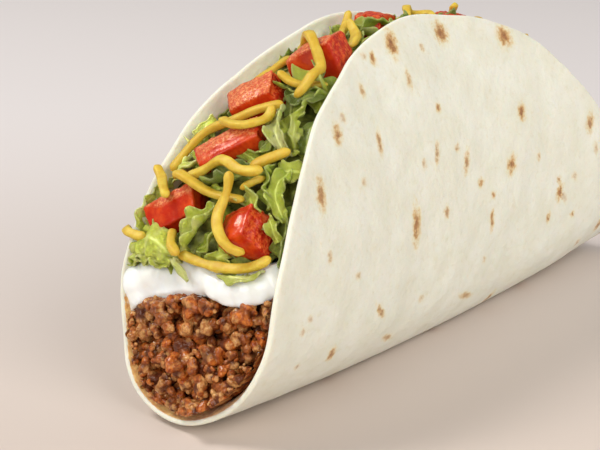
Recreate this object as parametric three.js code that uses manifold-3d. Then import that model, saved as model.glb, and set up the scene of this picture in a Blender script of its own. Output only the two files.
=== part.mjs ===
// A soft taco: one flour tortilla folded round seasoned minced beef, sour cream, lettuce,
// diced tomato and shredded cheese. It stands on its fold, leaning back a little.
// Millimetres, +Z up. +X runs along the fold to the back end, and -Y is the near flap.
import * as THREE from "three";
import Module from "manifold-3d";
import { mergeVertices } from "three/addons/utils/BufferGeometryUtils.js";

// Tortilla, as the flat disc it was before it was folded
const TORTILLA_RADIUS = 82.5;
const TORTILLA_THICKNESS = 2.4;
const RIM_THICKNESS = 1.6; // the pressed edge is thinner
const RIM_EDGE_WIDTH = 5; // over this distance from the edge
const RIM_OVAL = -0.045; // shorter along the fold than across it
const RIM_EGG = 0.016; // longer at the back end

// How it is folded: a tight bend at the base, then each flap goes on turning slowly
const BEND_ANGLE = THREE.MathUtils.degToRad(76);
const NEAR_FLAP = { side: -1, bendRadius: 17.7, turn: 0.71 };
const FAR_FLAP = { side: 1, bendRadius: 12.3, turn: 0.8 };
const BEND_SKEW = -0.076; // the bend is wider at the front end
const BEND_FLARE = 0.367; // and at both ends
const TURN_SKEW = -0.15;
const TURN_FLARE = 0.23;
const ROCKER = 4.2; // how far the fold rises at its ends
const LEAN = THREE.MathUtils.degToRad(8.2);
const FOOT = 2.5; // height of the flat that the weight of the filling presses into the base
const FOOT_BLEND = 1; // how gently the flat turns into the round fold
const FOOT_DEPTH = 0.5; // how far into that blend the flat lies

// Filling
const GAP = 0.3; // between touching pieces
const CUT_GAP = 0.4; // round a topping that is cut out of the filling
const FILL_INSET = { near: 3, nearTop: 2, far: 2.5, farTop: 4.5 }; // from the rim, and more on top
const FILL_TOP_SHARPNESS = 6; // a higher power keeps the extra inset nearer the middle of the top
const CROWN = 2.5; // how far the filling bulges out of the mouth
const BUMP = 0.9;
const BEEF_TOP = { height: 27.5, slope: -0.28, wave: 1.6, seed: 2 };
const CREAM_TOP = { height: 33.5, slope: -0.24, wave: 1.1, seed: 5 };
const CREAM_BULGE = { height: 1.3, at: 150, spread: 4 }; // degrees round the mouth
const WAVE_LENGTH = { along: 9, across: 6 };
const MOUTH_STEPS = 7;

// Cheese shreds
const SHRED_WIDTH = 2.3;
const SHRED_HEIGHT = 2;
const SHRED_STEP = 2.4; // length of the straight pieces that a shred is drawn with
const SHRED_SAMPLES = 24; // places where what lies under a shred is measured
const SHRED_SLOPE = 0.6; // the steepest that a shred leaves what it lies on
const SHRED_CLEARANCE = 0.65;
const LOOK_FROM = 40; // height above the filling from which a shred is let down
const MOUTH_WIDTH = 34; // between the flaps where the shreds lie, roughly

// Diced tomato
const TOMATO_ROUNDNESS = 5; // power of the rounded cube: higher is squarer
const TOMATO_SKIN_BULGE = 0.18; // these three are shares of half a side
const TOMATO_WEDGE = 0.12;
const TOMATO_TAPER = 0.1;

// Where the diced tomatoes lie: [angle round the mouth, share of the way across], lift out of the
// filling, turns about the mouth's three axes in degrees, and size along, across and out.
// The angle is 180 at the front end of the fold, 90 over its middle and 0 at the back end.
const TOMATOES = [
  { at: [140.5, 0.8], lift: 0, turn: [10, -10, 35], size: [7.5, 13, 6] },
  { at: [142.5, 0.23], lift: 0, turn: [-10, 10, 20], size: [8.5, 8.5, 9] },
  { at: [130, 0.55], lift: 0.5, turn: [5, 0, 40], size: [6.5, 16, 6] },
  { at: [120.5, 0.66], lift: 0.5, turn: [0, -5, 35], size: [8, 12, 6.5] },
  { at: [110, 0.38], lift: 0.5, turn: [-12, 5, 25], size: [8.5, 13, 8.5] },
  { at: [92.5, 0.58], lift: 0.5, turn: [10, 10, 15], size: [9, 8, 8] },
  { at: [76, 0.36], lift: 0, turn: [20, -10, 15], size: [11, 9, 8] },
  { at: [65, 0.66], lift: 0, turn: [-15, 20, -25], size: [10, 12, 8] },
  { at: [55, 0.3], lift: 0.5, turn: [10, -15, 30], size: [12, 9, 9] },
  { at: [45, 0.72], lift: 0, turn: [-20, 10, 15], size: [11, 10, 8] },
  { at: [38, 0.28], lift: 0, turn: [15, 15, -20], size: [9, 11, 8] },
];

// Routes of the cheese shreds over the toppings, as [angle, share across], lowest shred first
const SHREDS = [
  [[118.3, 0.86], [113.5, 0.79], [109, 0.77]],
  [[117, 0.46], [117.5, 0.34], [116.5, 0.17], [115.5, 0.06]],
  [[134.5, 0.98], [131, 0.95], [127.5, 0.9], [126, 0.68], [123.5, 0.52], [121.5, 0.3]],
  [[144, 1.18], [145.5, 1.02], [145.5, 0.92]],
  [[147, 0.62], [147.5, 0.52], [148, 0.36], [147.5, 0.18], [146.5, 0.08], [145, 0.03]],
  [[143.8, 0.71], [145.6, 0.67], [147.7, 0.54]],
  [[136.5, 0.32], [135, 0.26], [134, 0.18]],
  [[133, 0.31], [131, 0.2], [129, 0.08]],
  [[136, 0.73], [135.2, 0.57], [134.3, 0.49], [134.2, 0.44], [135, 0.27], [134, 0.14]],
  [[135.5, 0.88], [137, 0.66], [138, 0.5], [138, 0.36], [138, 0.27]],
  [[134.8, 1.04], [137, 0.92], [140, 0.76]],
  [[136, 0.29], [137.7, 0.31], [140.3, 0.35], [143.6, 0.28], [145.8, 0.2], [145.7, 0.12]],
  [[127, 0.66], [128.5, 0.47], [128, 0.36], [126, 0.3], [123.5, 0.3]],
  [[106, 0.82], [107.5, 0.6], [112, 0.22], [115, 0.12], [118, 0.14], [120, 0.24]],
  [[95.5, 0.68], [98.5, 0.62], [104.5, 0.38]],
  [[99, 0.5], [101, 0.3], [105, 0.19]],
  [[86, 0.44], [84, 0.6], [82, 0.78]],
  [[83, 0.2], [80, 0.4], [82, 0.58], [88, 0.3]],
  [[76, 0.9], [73, 0.74], [72, 0.5], [75, 0.34]],
  [[72, 0.1], [69, 0.22], [67, 0.42], [63, 0.5]],
  [[69, 0.86], [64, 0.88], [60, 0.78], [56.5, 0.62]],
  [[61, 0.08], [58, 0.22], [54, 0.38], [50, 0.56]],
  [[53, 0.9], [50, 0.72], [50.5, 0.54], [46.5, 0.42]],
  [[47, 0.06], [44, 0.18], [41, 0.36], [43, 0.54], [41, 0.72]],
  [[37, 0.94], [36, 0.76], [38, 0.6]],
  [[34, 0.1], [32.5, 0.3], [32.5, 0.52], [34, 0.72]],
  [[40, 0.9], [43, 0.96], [48, 0.96]],
];

const COLOURS = {
  tortilla: "#e5dcc4",
  beef: "#8a5230",
  sourCream: "#f4f2e8",
  lettuce: "#8aa045",
  tomato: "#c9402a",
  cheese: "#eab43c",
};

// The net that the disc is drawn with
const RINGS = 8;
const SEGMENTS = 56;
const RING_SPREAD = 1.3; // above 1, the rings are closer together in the middle

const { degToRad, radToDeg, lerp, smoothstep } = THREE.MathUtils;
const wasm = await Module();
wasm.setup();

// A smooth unevenness between -1 and 1, made of three waves that don't repeat together
function waves(u, v, seed) {
  return (
    (Math.sin(u * 1.7 + v * 0.9 + seed) +
      Math.sin(u * -0.8 + v * 2.3 + seed * 2.1) +
      Math.sin(u * 2.9 + v * 1.1 + seed * 3.7)) / 3
  );
}

// Where the tortilla's outer face goes when folded. along is measured on the flat disc along the
// fold, and across from the fold, negative on the near flap.
function folded(along, across) {
  const flap = across < 0 ? NEAR_FLAP : FAR_FLAP;
  const u = along / TORTILLA_RADIUS;
  const radius = flap.bendRadius * (1 + BEND_SKEW * u + BEND_FLARE * u * u);
  const bend = (flap.turn + TURN_SKEW * u + TURN_FLARE * u * u) / TORTILLA_RADIUS;
  const length = Math.abs(across);
  const arc = Math.min(length / radius, BEND_ANGLE);
  const past = Math.max(length - radius * BEND_ANGLE, 0);
  const turned = BEND_ANGLE + bend * past;
  const out = radius * Math.sin(arc) + (Math.sin(turned) - Math.sin(BEND_ANGLE)) / bend;
  const up = radius * (1 - Math.cos(arc)) + (Math.cos(BEND_ANGLE) - Math.cos(turned)) / bend;
  const raised = up + ROCKER * u * u;
  const y = Math.cos(LEAN) * out * flap.side + Math.sin(LEAN) * raised;
  const z = Math.cos(LEAN) * raised - Math.sin(LEAN) * out * flap.side;
  const over = z - FOOT + FOOT_DEPTH;
  const rested = Math.max(FOOT_BLEND * Math.log1p(Math.exp(over / FOOT_BLEND)), FOOT_DEPTH);
  return new THREE.Vector3(along, y, rested + FOOT - FOOT_DEPTH);
}

// A point inside the fold, depth below the outer face
function inside(along, across, depth) {
  const nearby = 0.05;
  const alongStep = folded(along + nearby, across).sub(folded(along - nearby, across));
  const acrossStep = folded(along, across + nearby).sub(folded(along, across - nearby));
  const inward = alongStep.cross(acrossStep).normalize();
  return folded(along, across).addScaledVector(inward, depth);
}

// [along, across] on the flat disc, at a share of the way out to its rim
function discPoint(angle, share) {
  const rim = TORTILLA_RADIUS * (1 + RIM_OVAL * Math.cos(2 * angle) + RIM_EGG * Math.cos(3 * angle));
  return [rim * share * Math.cos(angle), rim * share * Math.sin(angle)];
}

// How far out the filling reaches on the near (-1) or far (1) flap
function fillShare(angle, side) {
  const top = Math.sin(Math.abs(angle)) ** FILL_TOP_SHARPNESS;
  const inset = side < 0
    ? FILL_INSET.near + FILL_INSET.nearTop * top
    : FILL_INSET.far + FILL_INSET.farTop * top;
  return 1 - inset / TORTILLA_RADIUS;
}

// The edge of the filling on one flap
function fillEdge(angle, side) {
  const at = discPoint(angle * side, fillShare(angle, side));
  return inside(...at, TORTILLA_THICKNESS + GAP);
}

// The way out of the fold, from its middle through the mouth
function outward(angle) {
  const up = new THREE.Vector3(0, Math.sin(LEAN), Math.cos(LEAN));
  return up.multiplyScalar(Math.sin(angle)).add(new THREE.Vector3(Math.cos(angle), 0, 0));
}

// A point over the mouth of the fold: share 0 is at the near flap and 1 at the far one
function mouthPoint(angle, share, height) {
  const near = fillEdge(angle, -1);
  const far = fillEdge(angle, 1);
  const crown = CROWN * 4 * share * (1 - share);
  return near.lerp(far, share).addScaledVector(outward(angle), crown + height);
}

function geometryOf(points, triangles) {
  const geometry = new THREE.BufferGeometry().setFromPoints(points);
  geometry.setIndex(triangles.flat());
  return geometry;
}

// A closed geometry as a solid that can be cut
function solidOf(geometry) {
  const bare = geometry.clone();
  bare.deleteAttribute("normal");
  bare.deleteAttribute("uv");
  const merged = mergeVertices(bare, 1e-4);
  return new wasm.Manifold(new wasm.Mesh({
    numProp: 3,
    vertProperties: merged.attributes.position.array,
    triVerts: new Uint32Array(merged.index.array),
  }));
}

function geometryFrom(solid) {
  const { vertProperties, triVerts } = solid.getMesh();
  const geometry = new THREE.BufferGeometry();
  geometry.setAttribute("position", new THREE.BufferAttribute(vertProperties, 3));
  geometry.setIndex(new THREE.BufferAttribute(triVerts, 1));
  geometry.computeVertexNormals();
  return geometry;
}

// The largest body of a cut solid, without loose chips
function largestBody(solid) {
  return solid.decompose().sort((a, b) => b.volume() - a.volume())[0];
}

// Rings of points on the disc from its centre out, with the triangles between them.
// facing is 1 for the inner face and -1 for the outer one.
function discGrid(pointAt, facing) {
  const points = [pointAt(0, 0)];
  const triangles = [];
  const index = (ring, segment) => 1 + (ring - 1) * SEGMENTS + (segment % SEGMENTS);
  const add = (a, b, c) => triangles.push(facing > 0 ? [a, b, c] : [a, c, b]);
  for (let ring = 1; ring <= RINGS; ring++)
    for (let segment = 0; segment < SEGMENTS; segment++) {
      const share = (ring / RINGS) ** RING_SPREAD;
      points.push(pointAt((segment / SEGMENTS) * 2 * Math.PI, share));
      if (ring === 1) add(0, index(1, segment), index(1, segment + 1));
      else {
        add(index(ring - 1, segment), index(ring, segment), index(ring, segment + 1));
        add(index(ring - 1, segment), index(ring, segment + 1), index(ring - 1, segment + 1));
      }
    }
  return { points, triangles, index };
}

function tortillaGeometry() {
  const thickness = (share) => {
    const fromEdge = (1 - share) * TORTILLA_RADIUS;
    return lerp(RIM_THICKNESS, TORTILLA_THICKNESS, smoothstep(fromEdge, 0, RIM_EDGE_WIDTH));
  };
  const outer = discGrid((a, share) => folded(...discPoint(a, share)), -1);
  const inner = discGrid((a, share) => inside(...discPoint(a, share), thickness(share)), 1);
  const shift = outer.points.length;
  const triangles = [...outer.triangles, ...inner.triangles.map((t) => t.map((i) => i + shift))];
  for (let s = 0; s < SEGMENTS; s++) {
    const [a, b] = [outer.index(RINGS, s), outer.index(RINGS, s + 1)];
    triangles.push([a, b + shift, a + shift], [a, b, b + shift]);
  }
  return geometryOf([...outer.points, ...inner.points], triangles);
}

// How far the uneven mouth of the filling stands out: bumps, and the sour cream's bulge in front
function mouthRelief(angle, share) {
  const bump = BUMP * waves(angle * 7, share * 9, 1) * Math.sin(Math.PI * share);
  const fromCream = (radToDeg(angle) - CREAM_BULGE.at) / CREAM_BULGE.spread;
  return bump + CREAM_BULGE.height * Math.exp(-(fromCream ** 2));
}

// Everything inside the fold as one solid: a skin along the tortilla, closed over the mouth
function fillingSolid() {
  const half = SEGMENTS / 2;
  const skin = discGrid((angle, share) => {
    const turned = angle > Math.PI ? angle - 2 * Math.PI : angle;
    const edge = fillShare(turned, Math.sign(turned) || 1);
    return inside(...discPoint(turned, Math.min(share, edge)), TORTILLA_THICKNESS + GAP);
  }, -1);
  const points = [...skin.points];
  const rows = [];
  for (let s = 0; s <= half; s++) {
    const angle = (s / half) * Math.PI;
    const farPoint = skin.index(RINGS, s);
    const nearPoint = skin.index(RINGS, SEGMENTS - s);
    const row = [nearPoint];
    for (let t = 1; t < MOUTH_STEPS; t++) {
      if (s === 0 || s === half) row.push(farPoint);
      else {
        points.push(mouthPoint(angle, t / MOUTH_STEPS, mouthRelief(angle, t / MOUTH_STEPS)));
        row.push(points.length - 1);
      }
    }
    row.push(farPoint);
    rows.push(row);
  }
  const triangles = [...skin.triangles];
  const add = (a, b, c) => {
    if (a !== b && b !== c && a !== c) triangles.push([a, b, c]);
  };
  for (let s = 0; s < half; s++)
    for (let t = 0; t < MOUTH_STEPS; t++) {
      add(rows[s][t], rows[s + 1][t + 1], rows[s + 1][t]);
      add(rows[s][t], rows[s][t + 1], rows[s + 1][t + 1]);
    }
  return solidOf(geometryOf(points, triangles));
}

// A block that fills everything below a wavy, sloping level
function belowLevel(level, lift) {
  const [length, width, depth] = [200, 80, 50];
  const block = new THREE.BoxGeometry(length, width, depth, 20, 8, 1);
  const position = block.attributes.position;
  for (let i = 0; i < position.count; i++) {
    const [x, y] = [position.getX(i), position.getY(i)];
    const wave = level.wave * waves(x / WAVE_LENGTH.along, y / WAVE_LENGTH.across, level.seed);
    const top = level.height + level.slope * y + wave + lift;
    position.setZ(i, position.getZ(i) > 0 ? top : -depth);
  }
  return solidOf(block);
}

// A diced tomato: a cube with rounded edges, one face bulging like the skin of the fruit
function tomatoGeometry(size, grow) {
  const geometry = new THREE.BoxGeometry(2, 2, 2, 3, 3, 3);
  const position = geometry.attributes.position;
  const rounded = (v) => Math.abs(v) ** TOMATO_ROUNDNESS;
  const half = size.map((side) => side / 2 + grow);
  for (let i = 0; i < position.count; i++) {
    const p = new THREE.Vector3().fromBufferAttribute(position, i);
    p.divideScalar((rounded(p.x) + rounded(p.y) + rounded(p.z)) ** (1 / TOMATO_ROUNDNESS));
    const skin = p.z > 0 ? TOMATO_SKIN_BULGE * (1 - p.x * p.x) * (1 - p.y * p.y) : 0;
    const y = p.y * (1 + TOMATO_WEDGE * p.x);
    const z = p.z * (1 - TOMATO_TAPER * y) + skin;
    position.setXYZ(i, p.x * half[0], y * half[1], z * half[2]);
  }
  return geometry;
}

// The place and turn of a diced tomato in the mouth
function tomatoMatrix({ at, lift, turn }) {
  const angle = degToRad(at[0]);
  const out = outward(angle);
  const acrossWay = fillEdge(angle, 1).sub(fillEdge(angle, -1)).normalize();
  const alongWay = new THREE.Vector3().crossVectors(acrossWay, out).normalize();
  const frame = new THREE.Matrix4().makeBasis(
    alongWay, new THREE.Vector3().crossVectors(out, alongWay), out);
  frame.setPosition(mouthPoint(angle, at[1], lift));
  const spin = new THREE.Matrix4().makeRotationFromEuler(new THREE.Euler(...turn.map(degToRad)));
  return frame.multiply(spin);
}

// How high above the filling the highest of these meshes is, at a place over the mouth
function heightOf(meshes, angle, share) {
  const from = mouthPoint(angle, share, LOOK_FROM);
  const down = outward(angle).negate();
  const [hit] = new THREE.Raycaster(from, down).intersectObjects(meshes, false);
  return hit ? LOOK_FROM - hit.distance : -Infinity;
}

// The same over the width of a shred
function heightUnderShred(meshes, angle, share) {
  const angleStep = SHRED_WIDTH / 2 / TORTILLA_RADIUS;
  const shareStep = SHRED_WIDTH / 2 / MOUTH_WIDTH;
  const heights = [-1, 0, 1].flatMap((i) =>
    [-1, 0, 1].map((j) => heightOf(meshes, angle + i * angleStep, share + j * shareStep)));
  return Math.max(BUMP / 2, ...heights);
}

// A shred follows its route and lies on whatever it crosses
function shredPath(route, lyingOn) {
  const flat = new THREE.CatmullRomCurve3(
    route.map(([angle, share]) => new THREE.Vector3(degToRad(angle), share, 0)));
  const places = flat.getPoints(SHRED_SAMPLES).map((p) => [p.x, p.y]);
  const needed = places.map((place) =>
    heightUnderShred(lyingOn, ...place) + SHRED_HEIGHT / 2 + SHRED_CLEARANCE);
  const lowest = places.map((place, i) => mouthPoint(...place, needed[i]));
  const rested = places.map((place, i) => {
    const held = lowest.map((p, j) => needed[j] - SHRED_SLOPE * p.distanceTo(lowest[i]));
    return mouthPoint(...place, Math.max(...held));
  });
  return new THREE.CatmullRomCurve3(rested);
}

function shredGeometry(path, grow) {
  const [w, h] = [SHRED_WIDTH / 2 + grow, SHRED_HEIGHT / 2 + grow];
  const section = new THREE.Shape(
    [[w, h], [-w, h], [-w, -h], [w, -h]].map((corner) => new THREE.Vector2(...corner)));
  const steps = Math.round(path.getLength() / SHRED_STEP);
  return new THREE.ExtrudeGeometry(section, { steps, extrudePath: path });
}

function meshOf(name, geometry, colour, roughness) {
  const mesh = new THREE.Mesh(
    geometry, new THREE.MeshStandardMaterial({ color: colour, roughness, metalness: 0 }));
  mesh.name = name;
  return mesh;
}

const numbered = (name, i) => name + "_" + String(i + 1).padStart(2, "0");

function build() {
  const tortilla = meshOf("tortilla", tortillaGeometry(), COLOURS.tortilla, 0.8);
  const lyingOn = [tortilla];
  TOMATOES.forEach((tomato, i) => {
    const mesh = meshOf(numbered("tomato", i), tomatoGeometry(tomato.size, 0), COLOURS.tomato, 0.3);
    mesh.applyMatrix4(tomatoMatrix(tomato));
    mesh.updateMatrixWorld();
    lyingOn.push(mesh);
  });
  const paths = [];
  SHREDS.forEach((route, i) => {
    const path = shredPath(route, lyingOn);
    paths.push(path);
    lyingOn.push(meshOf(numbered("cheese", i), shredGeometry(path, 0), COLOURS.cheese, 0.5));
  });

  const toppings = [
    ...TOMATOES.map((t) => tomatoGeometry(t.size, CUT_GAP).applyMatrix4(tomatoMatrix(t))),
    ...paths.map((path) => shredGeometry(path, CUT_GAP)),
  ].map(solidOf);
  const filling = toppings.reduce((rest, topping) => rest.subtract(topping), fillingSolid());
  const beef = filling.intersect(belowLevel(BEEF_TOP, 0));
  const sourCream = filling.intersect(belowLevel(CREAM_TOP, 0)).subtract(belowLevel(BEEF_TOP, GAP));
  const lettuce = filling.subtract(belowLevel(CREAM_TOP, GAP));

  // The origin is under the middle of the whole taco, on what it stands on
  const standing = new THREE.Group().add(
    meshOf("beef", geometryFrom(largestBody(beef)), COLOURS.beef, 0.5),
    meshOf("sour_cream", geometryFrom(largestBody(sourCream)), COLOURS.sourCream, 0.3),
    meshOf("lettuce", geometryFrom(largestBody(lettuce)), COLOURS.lettuce, 0.5),
    ...lyingOn,
  );
  const box = new THREE.Box3().setFromObject(standing, true);
  const middle = box.getCenter(new THREE.Vector3());
  standing.position.set(-middle.x, -middle.y, -box.min.z);
  return new THREE.Group().add(standing);
}

export default build();
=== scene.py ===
"""The looks of a soft taco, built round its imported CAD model.

The CAD frame is used throughout: +X along the fold to the back end, -Y the near flap, +Z up.
Shapes are worked out in millimetres and turned into metres when a mesh is made.
"""

import math

import bmesh
import bpy
import numpy as np
from mathutils import Matrix, Vector
from mathutils.bvhtree import BVHTree
from mathutils.kdtree import KDTree


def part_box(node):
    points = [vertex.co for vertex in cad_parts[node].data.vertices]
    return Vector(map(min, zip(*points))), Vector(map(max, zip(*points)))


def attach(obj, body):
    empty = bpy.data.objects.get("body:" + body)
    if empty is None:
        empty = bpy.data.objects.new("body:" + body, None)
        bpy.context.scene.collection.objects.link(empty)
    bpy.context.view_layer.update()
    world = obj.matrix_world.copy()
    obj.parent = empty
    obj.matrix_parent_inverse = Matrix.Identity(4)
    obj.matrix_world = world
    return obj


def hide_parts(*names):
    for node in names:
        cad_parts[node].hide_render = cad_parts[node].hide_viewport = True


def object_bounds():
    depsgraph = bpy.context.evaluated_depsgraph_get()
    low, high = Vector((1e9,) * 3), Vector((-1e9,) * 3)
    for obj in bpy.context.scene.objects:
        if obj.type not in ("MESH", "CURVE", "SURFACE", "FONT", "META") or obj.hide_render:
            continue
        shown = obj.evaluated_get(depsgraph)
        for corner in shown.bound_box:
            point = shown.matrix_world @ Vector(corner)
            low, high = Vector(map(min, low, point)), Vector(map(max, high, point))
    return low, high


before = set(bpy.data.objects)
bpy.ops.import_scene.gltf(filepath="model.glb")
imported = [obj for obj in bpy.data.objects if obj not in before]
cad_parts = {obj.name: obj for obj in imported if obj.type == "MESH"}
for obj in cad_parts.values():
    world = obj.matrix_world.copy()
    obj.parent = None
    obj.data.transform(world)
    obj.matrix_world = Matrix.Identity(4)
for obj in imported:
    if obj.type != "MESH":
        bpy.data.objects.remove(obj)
CAD_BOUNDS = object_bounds()
MM = 0.001

# The folded tortilla, as in the CAD model
TORTILLA_RADIUS = 82.5
TORTILLA_THICKNESS = 2.4
RIM_THICKNESS = 1.1  # thinner than the CAD model's, which is 1.6
RIM_EDGE_WIDTH = 5
RIM_OVAL, RIM_EGG = -0.045, 0.016
BEND_ANGLE = math.radians(76)
BEND_RADIUS = {"near": 17.7, "far": 12.3}
TURN = {"near": 0.71, "far": 0.8}
BEND_SKEW, BEND_FLARE = -0.076, 0.367
TURN_SKEW, TURN_FLARE = -0.15, 0.23
ROCKER = 4.2
LEAN = math.radians(8.2)
FOOT, FOOT_BLEND, FOOT_DEPTH = 2.5, 1, 0.5
FILL_DEPTH = TORTILLA_THICKNESS + 0.3
FILL_INSET = {"near": (3, 2), "far": (2.5, 4.5)}
FILL_TOP_SHARPNESS = 6
CROWN = 2.5
CAD_RINGS, CAD_SPOKES, CAD_RING_SPREAD = 8, 56, 1.3

# --- shapes


def unit(vectors):
    return vectors / np.maximum(np.linalg.norm(vectors, axis=-1, keepdims=True), 1e-9)


def smoothstep(low, high, x):
    t = np.clip((x - low) / (high - low), 0, 1)
    return t * t * (3 - 2 * t)


def ripples(points, size, seed, waves=12):
    """A smooth seeded unevenness from about -1 to 1, with bumps about size across."""
    rng = np.random.default_rng(seed)
    directions = unit(rng.normal(size=(waves, 3))) * rng.uniform(0.7, 1.4, (waves, 1))
    turns = np.asarray(points) @ (directions.T * math.pi / size)
    return np.sin(turns + rng.uniform(0, 2 * math.pi, waves)).sum(-1) * math.sqrt(2 / waves) / 2


def folded(along, across):
    """Where a place on the flat disc goes on the tortilla's outer face when it is folded."""
    along, across = np.broadcast_arrays(np.asarray(along, float), np.asarray(across, float))
    near = across < 0
    side = np.where(near, -1, 1)
    u = along / TORTILLA_RADIUS
    bend_radius = np.where(near, BEND_RADIUS["near"], BEND_RADIUS["far"])
    radius = bend_radius * (1 + BEND_SKEW * u + BEND_FLARE * u * u)
    turn = np.where(near, TURN["near"], TURN["far"])
    bend = (turn + TURN_SKEW * u + TURN_FLARE * u * u) / TORTILLA_RADIUS
    length = np.abs(across)
    arc = np.minimum(length / radius, BEND_ANGLE)
    turned = BEND_ANGLE + bend * np.maximum(length - radius * BEND_ANGLE, 0)
    out = radius * np.sin(arc) + (np.sin(turned) - math.sin(BEND_ANGLE)) / bend
    up = radius * (1 - np.cos(arc)) + (math.cos(BEND_ANGLE) - np.cos(turned)) / bend
    raised = up + ROCKER * u * u
    y = math.cos(LEAN) * out * side + math.sin(LEAN) * raised
    z = math.cos(LEAN) * raised - math.sin(LEAN) * out * side
    over = (z - FOOT + FOOT_DEPTH) / FOOT_BLEND
    rested = np.maximum(FOOT_BLEND * np.logaddexp(0, over), FOOT_DEPTH)
    return np.stack([along, y, rested + FOOT - FOOT_DEPTH], -1)


def inside(along, across, depth):
    """A point that is depth below the outer face, towards the inside of the fold."""
    nearby = 0.05
    along_step = folded(along + nearby, across) - folded(along - nearby, across)
    across_step = folded(along, across + nearby) - folded(along, across - nearby)
    inward = unit(np.cross(along_step, across_step))
    return folded(along, across) + inward * np.asarray(depth, float)[..., None]


def disc_point(angle, share):
    """(along, across) at a share of the way out to the flat disc's rim."""
    rim = TORTILLA_RADIUS * (1 + RIM_OVAL * np.cos(2 * angle) + RIM_EGG * np.cos(3 * angle))
    return rim * share * np.cos(angle), rim * share * np.sin(angle)


def fill_edge(angle, flap):
    """The edge of the filling on one flap, at an angle round the mouth."""
    inset, more_on_top = FILL_INSET[flap]
    inset = inset + more_on_top * np.sin(angle) ** FILL_TOP_SHARPNESS
    turned = -angle if flap == "near" else angle
    along, across = disc_point(turned, 1 - inset / TORTILLA_RADIUS)
    return inside(along, across, np.full(np.shape(along), FILL_DEPTH))


def outward(angle):
    """The way out of the fold through its mouth."""
    angle = np.asarray(angle, float)
    rise = np.sin(angle)
    return np.stack([np.cos(angle), rise * math.sin(LEAN), rise * math.cos(LEAN)], -1)


def mouth_point(degrees, share, height):
    """A point over the mouth: 180 degrees is the front end, share 0 the near flap and 1 the far."""
    angle = np.radians(np.asarray(degrees, float))
    share = np.asarray(share, float)[..., None]
    height = np.asarray(height, float)[..., None]
    between = fill_edge(angle, "near") * (1 - share) + fill_edge(angle, "far") * share
    return between + outward(angle) * (CROWN * 4 * share * (1 - share) + height)


def fold_shift():
    """From the frame in which the fold is worked out to the CAD frame."""
    rings = (np.arange(1, CAD_RINGS + 1) / CAD_RINGS) ** CAD_RING_SPREAD
    angles = np.arange(CAD_SPOKES) / CAD_SPOKES * 2 * math.pi
    net = folded(*disc_point(angles[:, None], rings[None, :])).reshape(-1, 3)
    low, high = (np.array(corner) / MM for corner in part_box("tortilla"))
    shift = (low + high) / 2 - (net.min(0) + net.max(0)) / 2
    shift[2] = low[2] - net.min(0)[2]
    return shift


SHIFT = fold_shift()


def in_scene(name, data):
    """A new object in the scene."""
    made = bpy.data.objects.new(name, data)
    bpy.context.scene.collection.objects.link(made)
    return made


def object_from(name, mesh, material):
    mesh.materials.clear()
    mesh.materials.append(material)
    mesh.shade_smooth()
    return in_scene(name, mesh)


def mesh_object(name, points, faces, material, fields=None):
    """A piece from points in millimetres, with named numbers or colours at its points."""
    mesh = bpy.data.meshes.new(name)
    mesh.from_pydata(np.asarray(points, float) * MM, [], faces)
    for field, values in (fields or {}).items():
        set_field(mesh, field, values)
    return object_from(name, mesh, material)


def set_field(mesh, name, values):
    values = np.asarray(values, np.float32)
    kinds = {1: ("FLOAT", "value"), 2: ("FLOAT_VECTOR", "vector")}
    kind, key = kinds[values.ndim]
    attribute = mesh.attributes.new(name, kind, "POINT")
    attribute.data.foreach_set(key, values.ravel())


def finish_piece(piece, slot, *nodes):
    """The piece rides on the only body and stands for its CAD nodes."""
    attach(piece, "root")
    if nodes:
        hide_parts(*nodes)


def grid_faces(rows, columns, closed=False):
    """Quads of a net of points, row by row. closed joins the last column to the first."""
    row, column = np.meshgrid(
        np.arange(rows - 1), np.arange(columns if closed else columns - 1), indexing="ij")
    after = (column + 1) % columns
    corners = [row * columns + column, row * columns + after,
               (row + 1) * columns + after, (row + 1) * columns + column]
    return np.stack(corners, -1).reshape(-1, 4).tolist()


def joined(parts):
    """The points and faces of several parts as those of one."""
    faces, start = [], 0
    for points, net in parts:
        faces += [[i + start for i in face] for face in net]
        start += len(points)
    return np.vstack([points for points, _ in parts]), faces


# --- materials


def colour(red, green, blue):
    """A colour given as 0 to 255, as a display shows it."""
    shown = np.array([red, green, blue]) / 255
    linear = np.where(shown <= 0.04045, shown / 12.92, ((shown + 0.055) / 1.055) ** 2.4)
    return (*linear, 1)


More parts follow.
